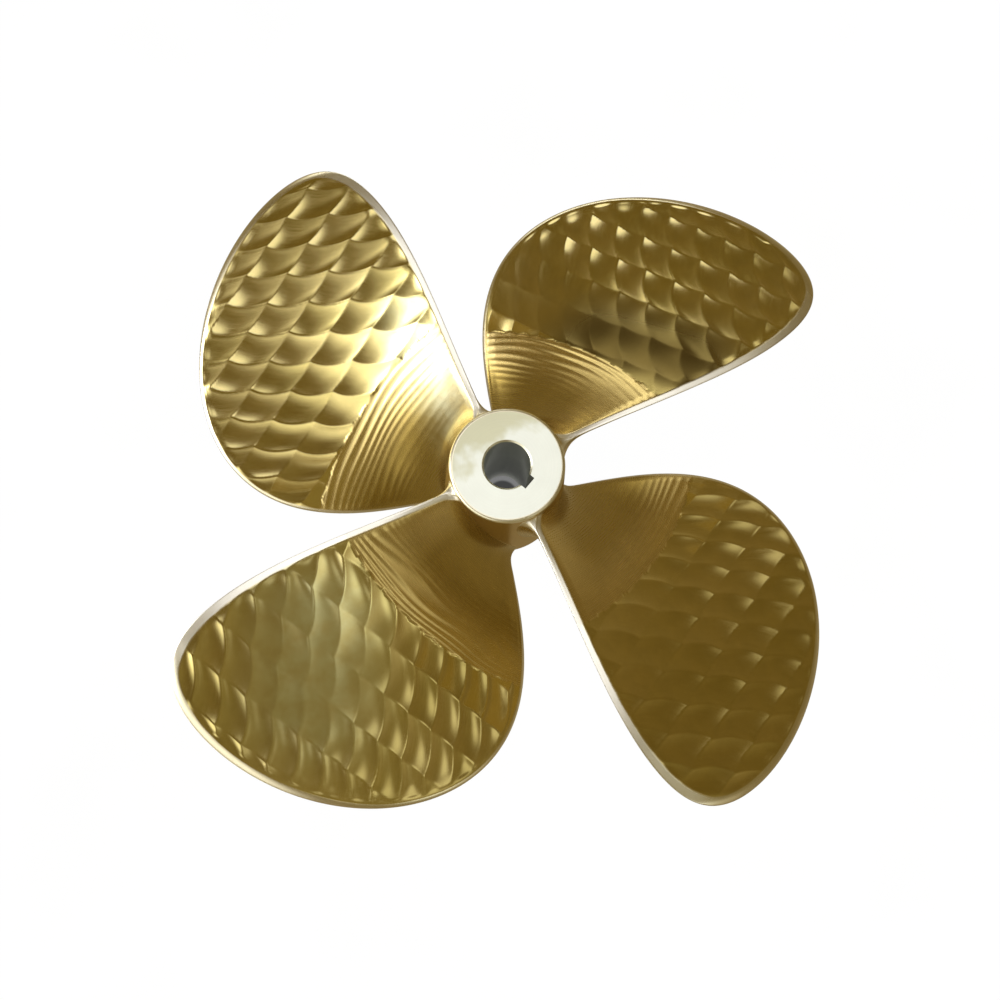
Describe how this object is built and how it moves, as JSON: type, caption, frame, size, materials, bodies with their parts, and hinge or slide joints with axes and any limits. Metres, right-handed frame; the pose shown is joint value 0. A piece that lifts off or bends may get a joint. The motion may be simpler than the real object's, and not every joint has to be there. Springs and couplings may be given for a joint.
{
  "type": "ship propeller",
  "caption": "Left-handed fixed-pitch ship propeller cast in one piece, with broad swept blades round a keyed shaft bore; it pushes a vessel ahead.",
  "frame": {"origin": "centre of the forward hub face, on the shaft's axis", "axes": "+Z along the shaft's axis from the forward hub face to the aft one, which is up as it lies; +X over the keyway, along the first blade's reference line"},
  "size_m": [0.9958, 0.9958, 0.2361],
  "materials": {
    "bronze": "ground and polished in overlapping arcs on the blade faces, machined bright on the hub faces"
  },
  "bodies": {
    "root": {"propeller_casting": "bronze"}
  },
  "joints": []
}
